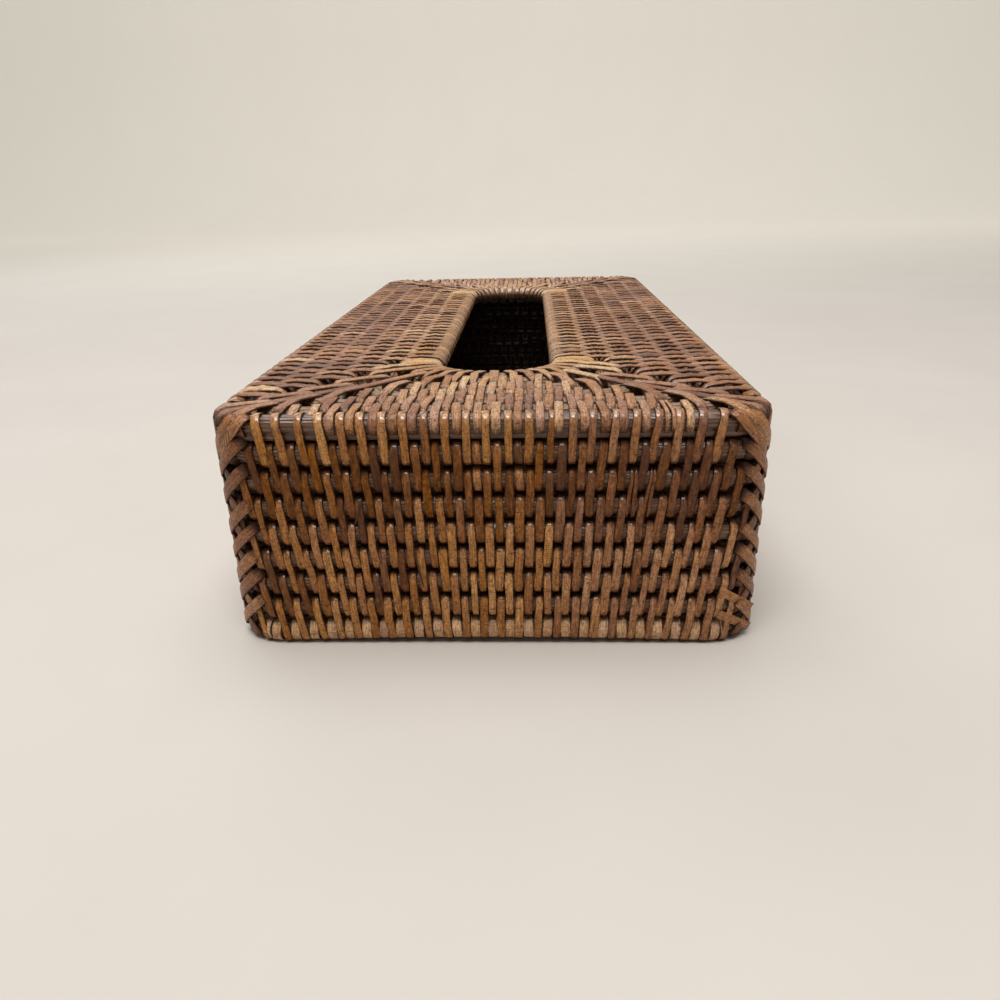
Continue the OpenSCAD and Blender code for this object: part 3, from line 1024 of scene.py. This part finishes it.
# %% The rim's short wraps
RIM_SHARES, RIM_WRAP_WIDTH = (0.335, 0.665), 1.95
ALONG = np.array([0.0, 1.0, 0.0])
rim_wraps = Weave()
half_x, run_y = ring_half(0)[0], ring_run(0)[1]
rim_count = math.floor(run_y / SIDE_PITCH)
for sign in (-1, 1):
    for step in range(-rim_count, rim_count):
        for share in RIM_SHARES:
            middle = np.array([sign * half_x, (step + share) * SIDE_PITCH, TOP])
            wrap(rim_wraps, middle, ALONG, np.array([-sign, 0.0, 0.0]),
                 width=rng.normal(RIM_WRAP_WIDTH, 0.06), tone=near(0.5, 0.2),
                 hue=near(0.45, 0.2))
rim_wraps.piece("cane_rim_wraps", pale_cane, "pale_cane", "opening_rim_wraps")

# %% [markdown]
# ## The upright corners
# A strip can't cross the rods squarely where they bend, so the corners are bound
# last, and aslant. One set of strips falls from the end wall round to the side, an
# opposite set falls the other way and is crossed by the first, and together they
# make a chain of crosses. Each is a closed band: round the corner outside, and
# back inside the cover.

# %% One strip round a corner
OUTSIDE, INSIDE = 17, 5  # stations
corner_band = Band(OUTSIDE + INSIDE, len(CROWN))
# A corner strip darkens where it dives into the weave: grime and painted shade.
DIVE_SHARE, DIVE_EXTRA, DIVE_GRIME_AND_SHADE, RISE_SHARE = 0.16, 0.8, 1.2, 0.2
CORNER_THICKNESS = 0.5


def corner_point(angle, fall, reach):
    """A point round a corner, `fall` mm below the shoulder rod's middle. Above that
    rod and below the base rod the surface turns inward, round the rod."""
    past = fall if fall < 0 else max(0.0, fall - (TOP - BASE))
    turn = past / GRIP
    height = min(TOP, max(BASE, TOP - fall)) - reach * math.sin(turn)
    place, ray = on_wall_bend(angle, WALL_BEND + reach * math.cos(turn))
    return place + UP * height, ray * math.cos(turn) - UP * math.sin(turn)


def corner_strip(weave, mirror, start, end, width, tone, hue, layer):
    """One strip round a corner. `start` and `end` are each an angle, from the side
    (0) to the end wall (90), and a height in mm below the shoulder rod. `layer` is
    how far it stands off the rods."""
    path, lift, deep = [], [], []
    for step in range(OUTSIDE):
        share = step / (OUTSIDE - 1)
        angle, fall = (a + (b - a) * share for a, b in zip(start, end))
        edge = min(share, 1 - share)
        dive = max(0.0, 1 - edge / DIVE_SHARE)
        rise = layer * min(1.0, edge / RISE_SHARE)
        reach = GRIP + rise - dive ** 2 * (GRIP + DIVE_EXTRA)
        place, ray = corner_point(angle, fall, reach)
        path.append(place)
        lift.append(ray)
        deep.append(min(1.0, dive * DIVE_GRIME_AND_SHADE))
    # Back inside the cover the strip is fully darkened: painted shade.
    for step in range(INSIDE):
        share = (step + 0.5) / INSIDE
        angle, fall = (b + (a - b) * share for a, b in zip(start, end))
        place, ray = corner_point(angle, min(max(fall, 0), TOP - BASE), -GRIP)
        path.append(place)
        lift.append(-ray)
        deep.append(1.0)
    weave.lay(corner_band, np.array(path) * mirror, np.array(lift) * mirror,
              even_section(corner_band, width, CORNER_THICKNESS), np.array(deep), tone,
              hue, EDGE_GRIME_AND_SHADE, floor=LOWEST)


print("Corner strips of", corner_band.stations, "stations")

# %% Bind the corners
OVER, UNDER = 0.75, 0.35  # how far each set stands off the rods
UNDER_FROM, UNDER_TO = 4, 64
OVER_ANGLES, FRONT_RIGHT_ANGLES = (78, 14), (66, 6)
SHOULDER_WRAPS = (72, 50, 26)
LAST_STRIPS, LAST_HEIGHT, LAST_ROUND = ((90, 3.0), (76, 2.5)), -5.2, 66
LOOSE_ENDS = [  # the tip and the root, each an angle, fall and reach; then the width
    ((80, 46, 3.6), (36, 53.5, 4.8), 2.4), ((80, 53, 3.6), (36, 59.5, 4.6), 2.4),
    ((30, 49, 3.2), (6, 53, 4.4), 1.0)]
CORNERS = {"front_left": (-1, -1, 1), "front_right": (1, -1, 1),
           "back_left": (-1, 1, 1), "back_right": (1, 1, 1)}


def bind_crosses(weave, mirror, first, last):
    """Lays both sets of slanting strips, a pair of them for each gap of the wall."""
    for gap in range(WALL_RODS - 1):
        high, low = (gap - 0.5) * PITCH, (gap + 1.4) * PITCH
        slip = rng.normal(0, 0.5)
        corner_strip(weave, mirror, (UNDER_FROM, high + slip), (UNDER_TO, low + slip),
                     rng.normal(3.2, 0.2), near(0.32, 0.12), near(0.3, 0.1), UNDER)
        slip = rng.normal(0, 0.6)
        corner_strip(weave, mirror, (first + rng.normal(0, 2), high + slip),
                     (last, low + slip), rng.normal(3.3, 0.25), near(0.62, 0.18),
                     near(0.3, 0.1), OVER)


for name, signs in CORNERS.items():
    weave, mirror = Weave(), np.array(signs)
    front_right = name == "front_right"
    bind_crosses(weave, mirror, *(FRONT_RIGHT_ANGLES if front_right else OVER_ANGLES))
    for angle in SHOULDER_WRAPS:
        bend_wrap(weave, mirror, angle, TOP, width=rng.normal(2.6, 0.2),
                  tone=near(0.2, 0.1), hue=0.4, lean=rng.normal(0, 0.3))
    for angle, width in LAST_STRIPS:
        corner_strip(weave, mirror, (angle, LAST_HEIGHT),
                     (angle - LAST_ROUND, 1.5 * PITCH), width, near(0.6, 0.1),
                     near(0.3, 0.1), OVER)
    for start, end, width in LOOSE_ENDS if front_right else []:
        (tip, ray), (root, _) = corner_point(*start), corner_point(*end)
        loose_end(weave, tip * mirror, root * mirror, ray * mirror, width,
                  near(0.7, 0.05))
    weave.piece(f"cane_corner_{name}", wall_cane, "wall_cane", f"corner_lashing_{name}")

# %% [markdown]
# ## Floor and backdrop
# A plain pale sheet, bent up behind the cover like a photographer's paper. Beyond
# it the camera and the varnish see the same pale tone, while a dim sky lights the
# cover.

# %% The paper's shape
FLOOR_HALF, COVE, COVE_STEPS, WALL_HEIGHT = 1.8, 0.5, 12, 2.0  # metres
bm = bmesh.new()
bmesh.ops.create_grid(bm, x_segments=1, y_segments=1, size=FLOOR_HALF)
back = [edge for edge in bm.edges if all(v.co.y > 0 for v in edge.verts)]
curved = bmesh.ops.spin(bm, geom=back, cent=(0, FLOOR_HALF, COVE), axis=(1, 0, 0),
                        angle=math.radians(90), steps=COVE_STEPS)["geom_last"]
last = [part for part in curved if isinstance(part, bmesh.types.BMEdge)]
raised = bmesh.ops.extrude_edge_only(bm, edges=last)["geom"]
raised = [part for part in raised if isinstance(part, bmesh.types.BMVert)]
bmesh.ops.translate(bm, vec=(0, 0, WALL_HEIGHT), verts=raised)
bmesh.ops.recalc_face_normals(bm, faces=bm.faces)
paper_mesh = bpy.data.meshes.new("paper")
bm.to_mesh(paper_mesh)
bm.free()
paper_mesh.shade_smooth()
paper = bpy.data.objects.new("paper", paper_mesh)
bpy.context.collection.objects.link(paper)
print("Paper", 2 * FLOOR_HALF, "m wide")

# %% The paper's finish
NO_GLOW, GLOW = (0, 0, 0, 1), (0.41, 0.39, 0.33, 1)
GLOW_FROM, GLOW_TO, FLECKS = 0.2, 1.9, 9
PAPER_TONES = [(0.3, (0.65, 0.605, 0.555)), (0.7, (0.68, 0.635, 0.58))]
matte = Finish("paper")
position = matte.node("TexCoord", None, None, "Object")
away = matte.node("SeparateXYZ", None, {"Vector": position}, "Y")
seen, mirrored = matte.node("LightPath", None, None, ("Is Camera Ray", "Is Glossy Ray"))
glow = matte.band(away, GLOW_FROM, GLOW_TO) * (seen + mirrored)
feed(matte.shader.inputs["Emission Color"], matte.mix(glow, NO_GLOW, GLOW))
feed(matte.shader.inputs["Emission Strength"], 1.0)
fleck = matte.noise(position, FLECKS, FLECKS)
paper_mesh.materials.append(matte.finish(
    matte.ramp(fleck, PAPER_TONES), fleck * 0.1 + 0.6, fleck, strength=0.05,
    distance=0.001))
print("The paper glows from", GLOW_FROM, "m behind the middle")

# %% The sky
SKY, PALE = (0.112, 0.114, 0.12, 1), (0.70, 0.66, 0.60, 1)
world = bpy.data.worlds.new("studio")
world.use_nodes = True
bpy.context.scene.world = world
sky = world.node_tree.nodes
rays = sky.new("ShaderNodeLightPath").outputs
choice = sky.new("ShaderNodeMix")
choice.data_type = "RGBA"
seen_or_mirrored = Value(rays["Is Camera Ray"]) + Value(rays["Is Glossy Ray"])
for socket, value in ((SHARE, seen_or_mirrored), (FIRST, SKY), (SECOND, PALE)):
    feed(choice.inputs[socket], value)
feed(sky["Background"].inputs["Color"], Value(choice.outputs[MIXED]))
print("Sky", SKY[:3], "and pale tone", PALE[:3])

# %% [markdown]
# ## Last update
# The view layer is brought up to date. The visual pieces have to fill the same box as
# the frame's solids.

# %% Last update
bpy.context.view_layer.update()
